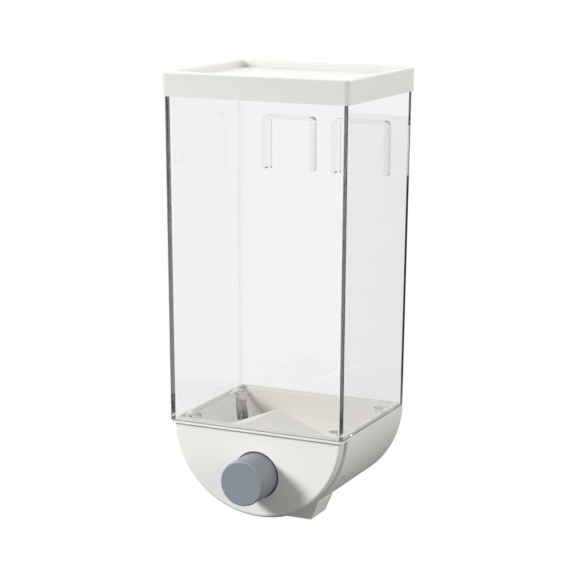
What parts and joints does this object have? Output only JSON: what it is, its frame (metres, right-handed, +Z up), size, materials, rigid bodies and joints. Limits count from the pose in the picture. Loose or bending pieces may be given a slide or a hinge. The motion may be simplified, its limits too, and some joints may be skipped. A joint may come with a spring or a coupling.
{
  "type": "cereal dispenser",
  "caption": "Wall-hung dry food dispenser: clear tapered box with a lift-off lid, over a half-round base with a push button and a spout.",
  "frame": {"origin": "the point on the wall midway between the two hanging rails, at half their height", "axes": "+Z up, -Y out of the wall towards the user, +X to the user's right"},
  "size_m": [0.1022, 0.1031, 0.2324],
  "materials": {
    "clear_plastic": "clear polished",
    "white_plastic": "satin off-white",
    "hopper_plastic": "satin warm off-white",
    "grey_plastic": "satin blue-grey",
    "gate_plastic": "natural white",
    "seal": "translucent silicone",
    "screw_steel": "zinc plated",
    "spring_steel": "bright"
  },
  "bodies": {
    "dispenser": {"container": "clear_plastic", "base_housing": "white_plastic", "front_panel": "white_plastic", "hopper": "hopper_plastic", "spout_chute": "white_plastic", "leg_screws": "screw_steel", "panel_screws": "screw_steel", "spout_screws": "screw_steel", "return_spring": "spring_steel"},
    "button": {"push_button": "grey_plastic", "button_screw": "screw_steel", "gate_slider": "gate_plastic"},
    "lid": {"lid": "white_plastic", "lid_seal": "seal"}
  },
  "joints": [
    {"name": "button_press", "type": "slide", "parent": "dispenser", "child": "button", "axis": [0, 1, 0], "range_m": [0, 0.014], "stiffness_N_per_m": 250, "springref_m": -0.006, "deforming": ["return_spring"]},
    {"name": "lid_lift", "type": "slide", "parent": "dispenser", "child": "lid", "axis": [0, 0, 1], "range_m": [0, 0.03]}
  ]
}
